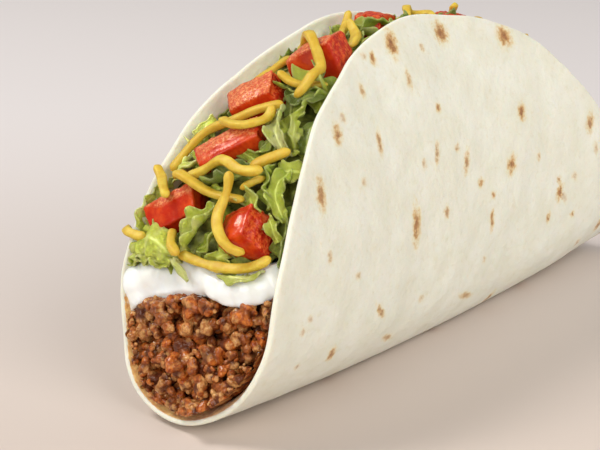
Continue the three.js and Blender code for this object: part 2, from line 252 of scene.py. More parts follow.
class Look:
    """A Principled material that is put together node by node."""

    def __init__(self, name, **values):
        self.material = bpy.data.materials.new(name)
        self.material.use_nodes = True
        self.tree = self.material.node_tree
        self.shader = self.tree.nodes["Principled BSDF"]
        for socket, value in values.items():
            self.shader.inputs[socket.replace("_", " ")].default_value = value

    def put(self, socket, value):
        if isinstance(value, bpy.types.NodeSocket):
            self.tree.links.new(value, socket)
        else:
            socket.default_value = value

    def node(self, kind, inputs, output=0, **settings):
        made = self.tree.nodes.new("ShaderNode" + kind)
        for name, value in settings.items():
            setattr(made, name, value)
        for socket, value in inputs.items():
            self.put(made.inputs[socket], value)
        return made.outputs[output]

    def set(self, **sockets):
        for socket, value in sockets.items():
            self.put(self.shader.inputs[socket.replace("_", " ")], value)

    def field(self, name, output="Fac"):
        return self.node("Attribute", {}, output, attribute_name=name)

    def places(self):
        return self.node("TexCoord", {}, "Object")

    def noise(self, places, size, detail=3, roughness=0.55):
        """Noise with features about size across, given in millimetres."""
        inputs = {"Vector": places, "Scale": 1 / (size * MM), "Detail": detail,
                  "Roughness": roughness}
        return self.node("TexNoise", inputs, "Fac")

    def cells(self, places, size, feature="F1"):
        inputs = {"Vector": places, "Scale": 1 / (size * MM)}
        return self.node("TexVoronoi", inputs, "Distance", feature=feature)

    def range(self, value, low, high, to_low=0.0, to_high=1.0):
        inputs = {"Value": value, "From Min": low, "From Max": high, "To Min": to_low,
                  "To Max": to_high}
        return self.node("MapRange", inputs, interpolation_type="SMOOTHSTEP")

    def math(self, operation, a, b=0.0):
        return self.node("Math", {0: a, 1: b}, operation=operation)

    def times(self, a, b):
        return self.math("MULTIPLY", a, b)

    def mix(self, factor, a, b):
        """a where factor is 0 and b where it is 1. Each is a socket, or a colour of 0 to 255."""
        made = self.tree.nodes.new("ShaderNodeMix")
        made.data_type = "RGBA"
        self.put(made.inputs[0], factor)
        for socket, value in ((6, a), (7, b)):
            self.put(made.inputs[socket], colour(*value) if isinstance(value, tuple) else value)
        return made.outputs[2]

    def relief(self, *layers):
        """Fine relief, finest layer first. Each is its heights and its depth in millimetres."""
        beneath = {}
        for height, depth in layers:
            made = self.node("Bump", {"Height": height, "Distance": depth * MM, **beneath})
            beneath = {"Normal": made}
        self.set(Normal=made)


# --- tortilla

TORTILLA_NET = 192  # points along each side of the square net that is bent into the disc
RIM_LOOPS = 5
RIM_WAVE = 0.7
UNDULATION = 0.27
PILLOW = 0.096
# Toasted spots on the near flap: along, across, width, length across the fold, tilt in degrees
# and how dark
TOAST_SPOTS = [
    (-15.7, -81.5, 3.2, 5.2, 8, 1), (-23.3, -79.3, 1.8, 2.8, 0, 0.95), (-26.2, -80.3, 1.5, 1.5, 0, 0.4),
    (3.4, -81.3, 4.4, 4.2, 30, 0.95), (-5.6, -79, 1.6, 1.8, 0, 0.5), (26.4, -77, 4.6, 4.4, 20, 1),
    (-13.7, -72.8, 1.4, 3.8, 0, 0.6), (-30.2, -73.3, 1.1, 2.5, 0, 0.6), (-5.3, -65.3, 1.3, 1.8, 0, 0.85),
    (-39.4, -69.1, 1.9, 2, 0, 0.35), (-42.8, -66.4, 2.6, 3.6, 12, 0.85), (-28.9, -61.9, 1.7, 4.6, 5, 0.7),
    (-8.7, -55.8, 1.4, 4.8, 10, 0.6), (-0.7, -55.4, 1.7, 1.3, 0, 0.6), (2.5, -51.5, 1.8, 5, 18, 0.7),
    (-14.2, -54.5, 1.4, 2.1, 0, 0.4), (20.6, -47.1, 3, 4, 25, 0.9), (7.9, -45.5, 2.2, 1.9, 30, 0.85),
    (-37.4, -55.4, 1.4, 1.4, 0, 0.35), (-52.2, -55.9, 2.3, 5.8, 5, 0.8), (12.8, -41.5, 1.3, 1.7, 0, 0.8),
    (27, -58.6, 3, 3.4, 0, 1), (-19.2, -42, 2.5, 7.6, 3, 0.9), (-7, -42.1, 2, 2.6, 0, 0.6),
    (11.9, -35.7, 1.1, 4.2, 6, 0.9), (-52, -43.3, 1.1, 2.3, 0, 0.5), (-42.2, -36.7, 1.3, 1.3, 0, 0.5),
    (-33.4, -26.4, 1.6, 4.4, -42, 0.8), (-16.5, -24.3, 2, 1.4, 0, 0.35), (-59.4, -32.3, 1.5, 1.4, 0, 0.35),
    (-61.7, -30.2, 1.5, 1.4, 0, 0.35), (-49.6, -21.3, 2.2, 2.8, 0, 0.9), (-60.8, -21.8, 1.6, 1.5, 0, 0.4),
    (9.1, -26.8, 1.8, 1.4, 0, 0.35), (3, -19.3, 0.8, 5.6, -72, 0.75), (-27.4, -17.6, 0.8, 4.4, -65, 0.7),
]
TOAST_WINDOW = (-72, 32, -12)  # along from and to, and across below this, where the spots above lie
TOAST_SCATTER = 95
SPOT_WIDTHS, SPOT_WIDTH_POWER = (0.9, 1.9), 1.8  # of the seeded spots
SPOT_STRETCH = (1, 2.4)
SPOT_TILT = 25  # degrees: the spread of their tilts
INNER_TOAST = 0.35  # how dark the spots inside the fold are, beside those outside
STAIN_HEIGHT = 25
STAIN_FADE = (-6, 2)  # from where to where about that height it ends
DEPTH_STRETCH = 4  # the pattern changes this much faster through the sheet than along it


def disc_net(side):
    """Points of a square net bent into a disc, as angle and share, with nearly even spacing."""
    a, b = np.meshgrid(np.linspace(-1, 1, side), np.linspace(-1, 1, side), indexing="ij")
    wide = np.abs(a) > np.abs(b)
    reach = np.where(wide, a, b)
    safe = np.where(reach == 0, 1, reach)
    turn = np.where(wide, math.pi / 4 * b / safe, math.pi / 2 - math.pi / 4 * a / safe)
    x, y = reach * np.cos(turn), reach * np.sin(turn)
    return np.arctan2(y, x).ravel(), np.abs(reach).ravel()


def net_border(side):
    """Indices round the edge of the square net, in order."""
    index = np.arange(side * side).reshape(side, side)
    return np.concatenate([index[:-1, 0], index[-1, :-1], index[:0:-1, -1], index[0, :0:-1]])


def scattered_spots(seed, count, skip_window):
    """Seeded toasted spots over the whole disc, apart from where the listed ones lie."""
    rng = np.random.default_rng(seed)
    low, high, below = TOAST_WINDOW
    spots = []
    while len(spots) < count:
        along, across = rng.uniform(-80, 80, 2)
        width, longer = rng.uniform(*SPOT_WIDTHS) ** SPOT_WIDTH_POWER, rng.uniform(*SPOT_STRETCH)
        tilt, dark = rng.normal(0, SPOT_TILT), rng.uniform(0.3, 1)
        hidden = not (low < along < high and across < below)
        if math.hypot(along, across) < 79 and (hidden or not skip_window):
            spots.append((along, across, width, width * longer, tilt, dark))
    return spots


def toast_fields(along, across, spots):
    """How far inside a toasted spot each place is, from 1 at its middle to -1, and how dark."""
    toast, dark = np.full(along.shape, -1.0), np.zeros(along.shape)
    for x, y, width, length, tilt, strength in spots:
        turn = math.radians(tilt)
        dx, dy = along - x, across - y
        u = (dx * math.cos(turn) + dy * math.sin(turn)) / max(width / 2, 0.8)
        v = (dy * math.cos(turn) - dx * math.sin(turn)) / max(length / 2, 0.8)
        here = 1 - np.hypot(u, v)
        dark = np.where(here > toast, strength, dark)
        toast = np.maximum(toast, here)
    return toast, dark


def sheet_offset(along, across):
    """The sheet's own unevenness: broad waves, and pillows between the blisters."""
    flat = np.stack([along, across, 0 * along], -1)
    standing = smoothstep(0.3, 5, folded(along, across)[..., 2] - FOOT)
    return standing * (UNDULATION * ripples(flat, 13, 11) + PILLOW * ripples(flat, 4.2, 12))


def sheet_layers(border):
    """Along, across, depth below the outer face and unevenness, at each point of the sheet.

    The points are those of the outer net, then the inner net, then the loops round the rim.
    """
    angle, share = disc_net(TORTILLA_NET)
    edge_radius = RIM_THICKNESS / 2
    circle = np.stack([np.cos(angle), np.sin(angle), 0 * angle], -1) * TORTILLA_RADIUS
    wave = RIM_WAVE * ripples(circle, 12, 21) / TORTILLA_RADIUS
    share = share * (1 - edge_radius / TORTILLA_RADIUS + wave * smoothstep(0.85, 1, share))
    along, across = disc_point(angle, share)
    offset = sheet_offset(along, across)
    thin = smoothstep(1 - RIM_EDGE_WIDTH / TORTILLA_RADIUS, 1, share)
    thickness = TORTILLA_THICKNESS + (RIM_THICKNESS - TORTILLA_THICKNESS) * thin
    layers = [(along, across, 0 * thickness, offset), (along, across, thickness, offset)]
    for turn in math.pi * np.arange(1, RIM_LOOPS + 1) / (RIM_LOOPS + 1):
        out = edge_radius * math.sin(turn) / TORTILLA_RADIUS
        depth = np.full(len(border), edge_radius * (1 - math.cos(turn)))
        layers.append((*disc_point(angle[border], share[border] + out), depth, offset[border]))
    return [np.concatenate(column) for column in zip(*layers)]


def sheet_faces(border):
    net = TORTILLA_NET * TORTILLA_NET
    face = np.array(grid_faces(TORTILLA_NET, TORTILLA_NET))
    loops = [2 * net + len(border) * loop + np.arange(len(border)) for loop in range(RIM_LOOPS)]
    bands = [border, *loops, net + border]
    strips = [np.stack([a, np.roll(a, -1), np.roll(b, -1), b], -1) for a, b in zip(bands, bands[1:])]
    return np.concatenate([face, face[:, ::-1] + net, *strips]).tolist()


def tortilla_fields(points, along, across, depth):
    """What the tortilla's look is told at each of its points."""
    outer_toast = toast_fields(along, across, TOAST_SPOTS + scattered_spots(31, TOAST_SCATTER, True))
    inner_toast = toast_fields(along, across, scattered_spots(32, TOAST_SCATTER // 2, False))
    net = TORTILLA_NET * TORTILLA_NET
    is_inner = np.arange(len(points)) // net == 1
    toast, dark = (np.where(is_inner, i, o) for i, o in zip(inner_toast, outer_toast))
    from_rim = (1 - np.hypot(along, across) / TORTILLA_RADIUS) * TORTILLA_RADIUS
    low, high = (STAIN_HEIGHT + fade for fade in STAIN_FADE)
    stain = is_inner * (1 - smoothstep(low, high, points[:, 2]))
    stain = stain * smoothstep(-1.5, 2.2, from_rim + 0.8 * ripples(points, 3, 5))
    return {
        "toast": toast, "dark": dark * np.where(is_inner, INNER_TOAST, 1), "stain": stain,
        # inner is 1 on the fold's inner face away from the rim, which the look paints paler as painted
        # light
        "inner": smoothstep(RIM_THICKNESS, TORTILLA_THICKNESS, depth),
        "disc": np.stack([along, across, depth * DEPTH_STRETCH], -1) * MM,
    }


def build_tortilla():
    border = net_border(TORTILLA_NET)
    along, across, depth, offset = sheet_layers(border)
    points = inside(along, across, depth - offset) + SHIFT
    fields = tortilla_fields(points, along, across, depth)
    piece = mesh_object("tortilla_skin", points, sheet_faces(border), tortilla_look(), fields)
    finish_piece(piece, "tortilla", "tortilla")


def tortilla_look():
    look = Look("tortilla_flour", Roughness=0.7, Subsurface_Weight=0.3, Subsurface_Scale=2 * MM,
                Subsurface_Radius=(1, 0.65, 0.4), Sheen_Weight=0.15, Sheen_Roughness=0.6,
                Specular_IOR_Level=0.3)
    disc = look.field("disc", "Vector")
    patches = look.range(look.noise(disc, 9, 4), 0.3, 0.7)
    freckles = look.range(look.noise(disc, 2.2, 3), 0.52, 0.72)
    dough = look.mix(patches, (235, 233, 218), (229, 226, 207))
    # painted light: the inner face of the fold is coloured paler, so that it shows bright inside the fold
    dough = look.mix(look.field("inner"), dough, (250, 243, 220))
    dough = look.mix(look.times(freckles, 0.3), dough, (217, 213, 184))
    toasted = look.math("ADD", look.field("toast"),
                        look.range(look.noise(disc, 1.3, 4, 0.65), 0.25, 0.75, -0.42, 0.42))
    dark = look.field("dark")
    warm = look.times(look.range(toasted, -1.0, 0.1), look.times(dark, 0.55))
    halo = look.times(look.range(toasted, -0.45, 0.45), dark)
    core = look.times(look.range(toasted, 0.05, 0.75), dark)
    tan = look.mix(halo, look.mix(warm, dough, (230, 214, 162)), (212, 170, 108))
    speckle = look.range(look.noise(disc, 0.9, 3), 0.35, 0.65)
    brown = look.mix(speckle, (136, 84, 46), (176, 120, 70))
    browned = look.mix(look.times(core, 0.95), tan, brown)
    grease = look.mix(look.range(look.noise(disc, 1.6, 4, 0.65), 0.35, 0.65), (204, 134, 48),
                      (240, 196, 112))
    soaked = look.range(look.math("ADD", look.field("stain"),
                                  look.range(look.noise(disc, 1.1, 3), 0.3, 0.7, -0.3, 0.3)), 0.2, 0.8)
    look.set(Base_Color=look.mix(look.times(soaked, 0.92), browned, grease))
    flour, pores, pillows = look.noise(disc, 0.55, 4), look.noise(disc, 1.8, 3), look.noise(disc, 5, 2)
    look.relief((flour, 0.05), (pores, 0.14), (pillows, 0.35))
    return look.material


# --- solids from the CAD model

CORE_SMOOTHING = 4
WALL_NET = 72  # points along each side of the net for the tortilla's inner face


def smooth_copy(node, voxel, smoothing):
    """A CAD node's shape as a new mesh with small, even faces."""
    return remeshed(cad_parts[node].data.copy(), voxel, smoothing)


def remeshed(mesh, voxel, smoothing):
    """A new mesh with small, even faces, in the shape of this one."""
    rough = in_scene("rough", mesh)
    remesh = rough.modifiers.new("Remesh", "REMESH")
    remesh.mode = "VOXEL"
    remesh.voxel_size = voxel * MM
    smooth = rough.modifiers.new("Smooth", "SMOOTH")
    smooth.iterations = smoothing
    return taken_mesh(rough)


def taken_mesh(piece):
    """The mesh that an object's modifiers make. The object itself is removed."""
    shown = piece.evaluated_get(bpy.context.evaluated_depsgraph_get())
    mesh = bpy.data.meshes.new_from_object(shown)
    bpy.data.objects.remove(piece)
    return mesh


def points_of(mesh):
    points = np.zeros(len(mesh.vertices) * 3)
    mesh.vertices.foreach_get("co", points)
    return points.reshape(-1, 3) / MM


def normals_of(mesh):
    normals = np.zeros(len(mesh.vertices) * 3)
    mesh.vertices.foreach_get("normal", normals)
    return normals.reshape(-1, 3)


def move_points(mesh, points):
    mesh.vertices.foreach_set("co", (points * MM).ravel())
    mesh.update()


def core_of(node, voxel, relief):
    """What stays of a heap under its loose pieces: its solid, with a relief from its points."""
    mesh = smooth_copy(node, voxel, CORE_SMOOTHING)
    points = points_of(mesh)
    move_points(mesh, points + normals_of(mesh) * relief(points)[:, None])
    return mesh


class InnerWall:
    """The tortilla's inner face, to keep things from poking through it."""

    def __init__(self):
        angle, share = disc_net(WALL_NET)
        points = inside(*disc_point(angle, share), np.full(angle.shape, TORTILLA_THICKNESS)) + SHIFT
        faces = [face[::-1] for face in grid_faces(WALL_NET, WALL_NET)]
        self.tree = BVHTree.FromPolygons(points.tolist(), faces)

    def kept_inside(self, points, clearance, reach):
        """The points with those closer to the wall than clearance, or beyond it, moved in.

        What lies further than reach from the wall is left alone.
        """
        moved = points.copy()
        for i, point in enumerate(points):
            nearest, normal, _, distance = self.tree.find_nearest(point.tolist())
            depth = (Vector(point) - nearest).dot(normal)
            if distance < reach and depth < clearance:
                moved[i] += np.array(normal) * (clearance - depth)
        return moved


wall = InnerWall()

# --- tomatoes

TOMATO_VOXEL, TOMATO_SMOOTHING = 0.36, 5
TOMATO_ROUNDNESS = 5  # of the CAD model's dice
TOMATO_SHARPNESS = 11  # and how square they are here: higher has sharper edges
# For each dice, the way its cut flesh faces and the way its seeded jelly faces, if it shows
TOMATO_CUTS = {
    "tomato_01": ((-0.1, 0.3, 1), (0.2, 1, 0.2)),
    "tomato_02": ((0.6, 0.3, 0.9), (0.25, -1, -0.05)),
    "tomato_03": ((0.1, 0.4, 1), (1, -0.4, 0.3)),
    "tomato_04": ((-0.5, -0.2, 1), (0.7, -1, 0.4)),
    "tomato_05": ((-0.6, 0.6, 0.6), (0.4, -1, 0.5)),
    "tomato_06": ((-0.2, 0.2, 1), (-0.4, -0.6, 0.8)),
}
TOMATO_FURTHER = ((0.2, 0.1, 1), (0.3, -0.8, 0.6))
FACING, SQUARE = 0.82, 0.3  # cosines: at least this for one way, at most this for square ways


def dice_axes(mesh):
    """The ways that two neighbouring faces of a dice look, and the way at right angles to both."""
    normals = np.array([polygon.normal for polygon in mesh.polygons])
    areas = np.array([polygon.area for polygon in mesh.polygons])

    def face_way(start):
        way = start
        for _ in range(3):
            facing = normals @ way > FACING
            way = unit((normals[facing] * areas[facing, None]).sum(0))
        return way

    first = face_way(normals[areas.argmax()])
    square = np.abs(normals @ first) < SQUARE
    second = face_way(normals[square][areas[square].argmax()])
    second = unit(second - first * (second @ first))
    return np.stack([first, second, np.cross(first, second)])


def sharpened(points, axes):
    """The points of a rounded dice, moved out so that its edges are sharper."""
    local = points @ axes.T
    middle, half = (local.max(0) + local.min(0)) / 2, (local.max(0) - local.min(0)) / 2
    shares = np.abs(local - middle) / half
    now = (shares**TOMATO_ROUNDNESS).sum(1) ** (1 / TOMATO_ROUNDNESS)
    wanted = (shares**TOMATO_SHARPNESS).sum(1) ** (1 / TOMATO_SHARPNESS)
    return (middle + (local - middle) * (now / wanted)[:, None]) @ axes


def build_tomatoes():
    look = tomato_look()
    for node in sorted(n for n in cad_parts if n.startswith("tomato")):
        mesh = smooth_copy(node, TOMATO_VOXEL, TOMATO_SMOOTHING)
        move_points(mesh, sharpened(points_of(mesh), dice_axes(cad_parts[node].data)))
        points, normals = points_of(mesh), normals_of(mesh)
        flesh_way, jelly_way = (unit(np.array(way, float))
                                for way in TOMATO_CUTS.get(node, TOMATO_FURTHER))
        broad = ripples(points, 4.5, 41)
        flesh = smoothstep(0.5, 0.66, normals @ flesh_way + 0.06 * broad)
        jelly = smoothstep(0.4, 0.75, normals @ jelly_way + 0.2 * broad)
        relief = 0.24 * broad + 0.1 * flesh * ripples(points, 0.9, 42)
        relief += jelly * (0.22 * ripples(points, 1.3, 43) - 0.25)
        move_points(mesh, points + normals * relief[:, None])
        set_field(mesh, "flesh", flesh)
        set_field(mesh, "jelly", jelly)
        piece = object_from("diced_" + node, mesh, look)
        finish_piece(piece, "tomato", node)


def tomato_look():
    look = Look("tomato_flesh", Roughness=0.24, Subsurface_Weight=0.25, Subsurface_Scale=2.5 * MM,
                Subsurface_Radius=(1, 0.25, 0.1), Coat_Weight=0.14, Coat_Roughness=0.08,
                Specular_IOR_Level=0.4, Specular_Tint=(1, 0.8, 0.62, 1))
    places = look.places()
    flesh, jelly = look.field("flesh"), look.field("jelly")
    streaks = look.range(look.noise(places, 3, 4), 0.35, 0.68)
    skin = look.mix(streaks, (184, 36, 12), (218, 76, 24))
    grains = look.range(look.noise(places, 0.55, 3, 0.6), 0.42, 0.64)
    cut = look.mix(grains, (202, 80, 38), (232, 146, 90))
    wet = look.mix(look.range(look.noise(places, 0.9, 3), 0.4, 0.66), (188, 34, 14),
                   (226, 94, 42))
    body = look.mix(flesh, skin, cut)
    look.set(Base_Color=look.mix(jelly, body, wet))
    grained = look.times(look.noise(places, 0.6, 4), look.math("ADD", flesh, jelly))
    look.relief((grained, 0.28), (look.noise(places, 2.4, 2), 0.2))
    look.set(Roughness=look.range(flesh, 0, 1, 0.27, 0.42))
    return look.material


# --- shredded cheese

SHRED_WIDTHS, SHRED_HEIGHTS = (1.84, 2.3), (1.32, 1.68)
SHRED_UP, SHRED_ROLL = (-0.35, 0.13, 0.93), 0.28  # the way its top faces, and how far off that
SHRED_STEP = 0.3
SHRED_SIDES = 16
SHRED_SQUARENESS = 4.2
SHRED_END = 1.6  # length of the rounded end
SHRED_RELAXING = 60  # how often a shred's line is eased, which rounds off its sharp turns
EASING = 0.45  # 0.5 would put each place midway between its neighbours
# Shreds that arch: where along them, over how much of their length, and how high
ARCHES = {"cheese_09": (0.42, 0.24, 2.6)}


def shred_line(node):
    """The middles of the four-cornered rings that a shred's CAD mesh is made of."""
    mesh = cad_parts[node].data
    corners, which = np.unique(np.round(points_of(mesh), 3), axis=0, return_inverse=True)
    which = which.ravel()
    beside = [set() for _ in corners]
    for polygon in mesh.polygons:
        ids = [which[i] for i in polygon.vertices]
        for i in ids:
            beside[i].update(set(ids) - {i})
    ends = [i for i, found in enumerate(beside) if len(found) <= 5]
    near_first = sorted(ends, key=lambda i: np.linalg.norm(corners[i] - corners[ends[0]]))
    ring = set(near_first[:4])
    seen, line = set(ring), []
    while ring:
        line.append(corners[list(ring)].mean(0))
        ring = set().union(*(beside[i] for i in ring)) - seen
        seen |= ring
    return np.array(line)


def smooth_line(line, step, relaxing=0):
    """A curve through the points of a line, with places about step apart along it."""
    padded = np.vstack([2 * line[0] - line[1], line, 2 * line[-1] - line[-2]])
    fine = []
    for a, b, c, d in zip(padded, padded[1:], padded[2:], padded[3:]):
        t = np.linspace(0, 1, 12, endpoint=False)[:, None]
        fine.append(0.5 * (2 * b + (c - a) * t + (2 * a - 5 * b + 4 * c - d) * t**2
                           + (3 * b - a - 3 * c + d) * t**3))
    fine = np.vstack([*fine, line[-1:]])
    travelled = np.concatenate([[0], np.cumsum(np.linalg.norm(np.diff(fine, axis=0), axis=1))])
    count = max(int(travelled[-1] / step), 4)
    at = np.linspace(0, travelled[-1], count)
    even = np.stack([np.interp(at, travelled, fine[:, axis]) for axis in range(3)], -1)
    for _ in range(relaxing):
        even[1:-1] += EASING * (even[:-2] + even[2:] - 2 * even[1:-1])
    return even, at


def swept(line, at, width, height, seed):
    """A shred with a soft square section along a line, with rounded ends."""
    rng = np.random.default_rng(seed)
    tangents = unit(np.gradient(line, axis=0))
    up = unit(np.array(SHRED_UP) + rng.normal(0, SHRED_ROLL, 3))
    side = unit(np.cross(tangents, up))
    above = np.cross(side, tangents)
    from_end = np.minimum(at, at[-1] - at)
    rounding = np.sqrt(1 - (1 - np.clip(from_end / SHRED_END, 0.02, 1)) ** 2)
    turn = np.arange(SHRED_SIDES) / SHRED_SIDES * 2 * math.pi
    c, s = np.cos(turn), np.sin(turn)
    square = SHRED_SQUARENESS
    reach = (np.abs(c) ** square + np.abs(s) ** square) ** (-1 / square)
    wobble = 1 + 0.1 * ripples(np.stack([at, 0 * at + seed, 0 * at], -1), 3.2, seed)
    scale = (rounding * wobble)[:, None, None]
    section = side[:, None] * (reach * c)[None, :, None] * width / 2
    section = section + above[:, None] * (reach * s)[None, :, None] * height / 2
    points = (line[:, None] + section * scale).reshape(-1, 3)
    rows = len(line)
    faces = [face[::-1] for face in grid_faces(rows, SHRED_SIDES, closed=True)]
    faces.append(list(range(SHRED_SIDES)))
    faces.append([(rows - 1) * SHRED_SIDES + i for i in range(SHRED_SIDES)][::-1])
    return points, faces


def arched(line, at, node):
    """The line of a shred, with its middle lifted where it arches over what lies below it."""
    if node not in ARCHES:
        return line
    place, width, height = ARCHES[node]
    share = at / at[-1]
    lift = height * np.exp(-(((share - place) / width) ** 2)) * smoothstep(0, 0.15, share)
    return line + np.outer(lift * smoothstep(0, 0.15, 1 - share), (-0.2, 0.1, 0.97))


def cheese_nodes():
    return sorted(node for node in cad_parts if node.startswith("cheese"))


def build_cheese():
    look = cheese_look()
    for i, node in enumerate(cheese_nodes()):
        rng = np.random.default_rng(600 + i)
        line, at = smooth_line(shred_line(node), SHRED_STEP, SHRED_RELAXING)
        line = arched(line, at, node)
        width, height = rng.uniform(*SHRED_WIDTHS), rng.uniform(*SHRED_HEIGHTS)
        points, faces = swept(line, at, width, height, 600 + i)
        points = points + 0.05 * ripples(points, 0.9, 61)[:, None] * unit(points - points.mean(0))
        tone = np.full(len(points), rng.uniform())
        piece = mesh_object("shred_" + node, points, faces, look, {"tone": tone})
        finish_piece(piece, "cheese", node)


def cheese_look():
    look = Look("cheese_shred", Roughness=0.5, Subsurface_Weight=0.35, Subsurface_Scale=1.6 * MM,
                Subsurface_Radius=(1, 0.6, 0.12), Specular_IOR_Level=0.35)
    places = look.places()
    mottle = look.range(look.noise(places, 2.2, 4), 0.35, 0.68)
    shade = look.mix(mottle, (206, 169, 50), (219, 192, 74))
    deeper = look.times(look.field("tone"), 0.45)
    look.set(Base_Color=look.mix(deeper, shade, (198, 155, 42)))
    look.relief((look.noise(places, 0.5, 3), 0.06), (look.noise(places, 1.6, 2), 0.12))
    return look.material


# --- sour cream

CREAM_VOXEL, CREAM_SMOOTHING = 0.55, 12
CREAM_CLEARANCE, CREAM_WALL_REACH = 0.05, 9
CREAM_RETREAT = 1.6  # how far it draws back where the beef covers it in the front end
CREAM_RETREAT_FROM = (58, 64)  # this far out towards that end
LOBE_NET = (12, 20)
# The line in the front end where the beef meets the sour cream: (across, height) over the fold
BEEF_EDGE = [(-18.6, 32.5), (-16, 30.8), (-13, 29.2), (-7, 29), (-1.5, 30.5), (5, 29.7), (10.5, 28),
             (16.5, 24.4), (20, 21.5), (23, 22.6)]
# Lobes that swell out of the mouth: degrees round it, share across, height and size
CREAM_LOBES = [
    (151.9, 0.97, -0.3, 4.4), (153.5, 1.06, -0.6, 3.6), (155.5, 1.05, -0.7, 3), (157.6, 1.1, -0.6, 2.2),
    (154, 0.95, -0.4, 3.3), (150.2, 0.86, -0.6, 3.7), (152.3, 0.84, -1.4, 2.9), (150, 0.73, -1.4, 2.8),
    (149, 0.6, -1.2, 2.9), (149.2, 0.48, -1.2, 2.7), (150.2, 0.39, -1, 3), (151.6, 0.36, -1.1, 2.5),
    (150.4, 0.29, -0.8, 3.1), (151.8, 0.27, -1, 2.6), (150.2, 0.2, -0.8, 2.9), (151.6, 0.17, -0.9, 2.5),
    (149.4, 0.11, -0.8, 2.8), (150.8, 0.09, -0.9, 2.2), (147.8, 0.06, -0.8, 2.5), (148.8, 0.02, -1, 2.1),
    (29.4, 0.93, -2.6, 3.4), (28.8, 0.83, -2.2, 3.6), (27.8, 0.72, -1.8, 4), (28.6, 0.6, -2.4, 3.6),
    (28.8, 0.48, -2, 3.6), (27.6, 0.36, -1.8, 3.8), (28.6, 0.25, -2.3, 3.4), (29.4, 0.15, -1.8, 3.4),
    (28.4, 0.05, -1.6, 3),
]


def front_edge(points):
    """The height at which the beef in the front end meets the sour cream."""
    across, level = np.array(BEEF_EDGE, float).T
    return np.interp(points[..., 1], across, level)


def build_cream():
    """The CAD solid with soft lobes joined to it."""
    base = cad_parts["sour_cream"].data
    sphere, sphere_faces = ball_net(*LOBE_NET)
    parts = [(points_of(base), [list(p.vertices) for p in base.polygons])]
    for degrees, share, height, size in CREAM_LOBES:
        parts.append((sphere * size + mouth_point(degrees, share, height) + SHIFT, sphere_faces))
    points, faces = joined(parts)
    rough = bpy.data.meshes.new("lobes")
    rough.from_pydata(points * MM, [], faces)
    mesh = remeshed(rough, CREAM_VOXEL, CREAM_SMOOTHING)
    points, normals = points_of(mesh), normals_of(mesh)
    relief = 0.3 * ripples(points, 3.6, 51) + 0.08 * ripples(points, 1.4, 52)
    under = smoothstep(0, 1.6, front_edge(points - SHIFT) - (points - SHIFT)[:, 2])
    relief -= CREAM_RETREAT * under * smoothstep(*CREAM_RETREAT_FROM, -points[:, 0])
    points = points + normals * relief[:, None]
    move_points(mesh, wall.kept_inside(points, CREAM_CLEARANCE, CREAM_WALL_REACH))
    finish_piece(object_from("cream_dollop", mesh, cream_look()), "sour_cream", "sour_cream")


def ball_net(rows, columns):
    """A closed ball of radius 1 as points and faces."""
    turn = np.linspace(0, math.pi, rows + 1)[1:-1]
    around = np.arange(columns) / columns * 2 * math.pi
    rings = np.stack([np.outer(np.sin(turn), np.cos(around)), np.outer(np.sin(turn), np.sin(around)),
                      np.outer(np.cos(turn), np.ones(columns))], -1).reshape(-1, 3)
    points = np.vstack([rings, [[0, 0, 1], [0, 0, -1]]])
    faces = [face[::-1] for face in grid_faces(rows - 1, columns, closed=True)]
    top, bottom, last = len(rings), len(rings) + 1, (rows - 2) * columns
    for i in range(columns):
        after = (i + 1) % columns
        faces.append([top, i, after])
        faces.append([bottom, last + after, last + i])
    return points, faces


def cream_look():
    look = Look("sour_cream", Roughness=0.3, Subsurface_Weight=0.5, Subsurface_Scale=3 * MM,
                Subsurface_Radius=(1, 0.9, 0.75), Coat_Weight=0.3, Coat_Roughness=0.15)
    places = look.places()
    look.set(Base_Color=look.mix(look.range(look.noise(places, 4, 3), 0.35, 0.7),
                                 (250, 252, 246), (246, 248, 239)))
    look.relief((look.noise(places, 0.7, 3), 0.03), (look.noise(places, 2.2, 2), 0.15))
    return look.material


# --- beef

CRUMB_SPACING = {"front": 3.5, "back": 4.1}
CRUMB_RADIUS = (2, 3.3)
GRANULES, FEW_GRANULES = (14, 24), (7, 12)
# As shares of a crumble's radius: its stretch, how far out its granules lie, and their radii
CRUMB_STRETCH, GRANULE_PLACES, GRANULE_SIZES = (0.75, 1.15), (0.45, 0.78), (0.22, 0.4)
CRUMB_ROUGHNESS = [(2.4, 0.42), (1.2, 0.3), (0.6, 0.12)]  # sizes and heights of its bumps
BEEF_CLEARANCE, BEEF_WALL_REACH = 0.05, 8
GRANULE_BLEND = 9  # lower melts a crumble's granules further into one another
FILLER_SPACING = 3.2
FILLER_DEPTH = -3
CRUMB_DEPTH = -1.1
GRAIN_DEPTH, GRAIN_SPACING, GRAIN_RADIUS, GRAIN_COUNT = -0.2, 2.6, (0.7, 1.3), 25
WALL_GRAIN_RADIUS = (1, 2.1)
WALL_GRAIN_HEIGHTS = (-0.4, 1.9)
WALL_GRAIN_SPACING, WALL_GRAIN_MARGIN = 2.2, 1.5
FAR_GRAINS = 0.65  # this part of them is on the far flap
SIDE_RISE = 1.3  # how much further out the crumbles lie against the far flap
BOTTOM_RISE = 3.2  # and at the bottom, beside the near flap
BOTTOM_SPREAD = 0.07  # how far the crumbles there reach over the near flap, as a share
BEEF_ANGLES = {"front": (149, 179), "back": (1, 28)}
BACK_LEVEL, BACK_SLOPE = 27, -0.28
EDGE_CRUMBS = 1.3  # how much further out the crumbles lie where they meet the sour cream
EDGE_MARGIN = {"front": 1, "back": 0}  # how far below that line their middles stay
BEEF_TRIES, WALL_TRIES = 7000, 1500
BEEF_CORE_VOXEL = 0.9


def icosphere(detail):
    mesh = bpy.data.meshes.new("ico")
    net = bmesh.new()
    bmesh.ops.create_icosphere(net, subdivisions=detail, radius=1)
    net.to_mesh(mesh)
    net.free()
    points = np.array([v.co for v in mesh.vertices])
    faces = [list(p.vertices) for p in mesh.polygons]
    bpy.data.meshes.remove(mesh)
    return unit(points), faces


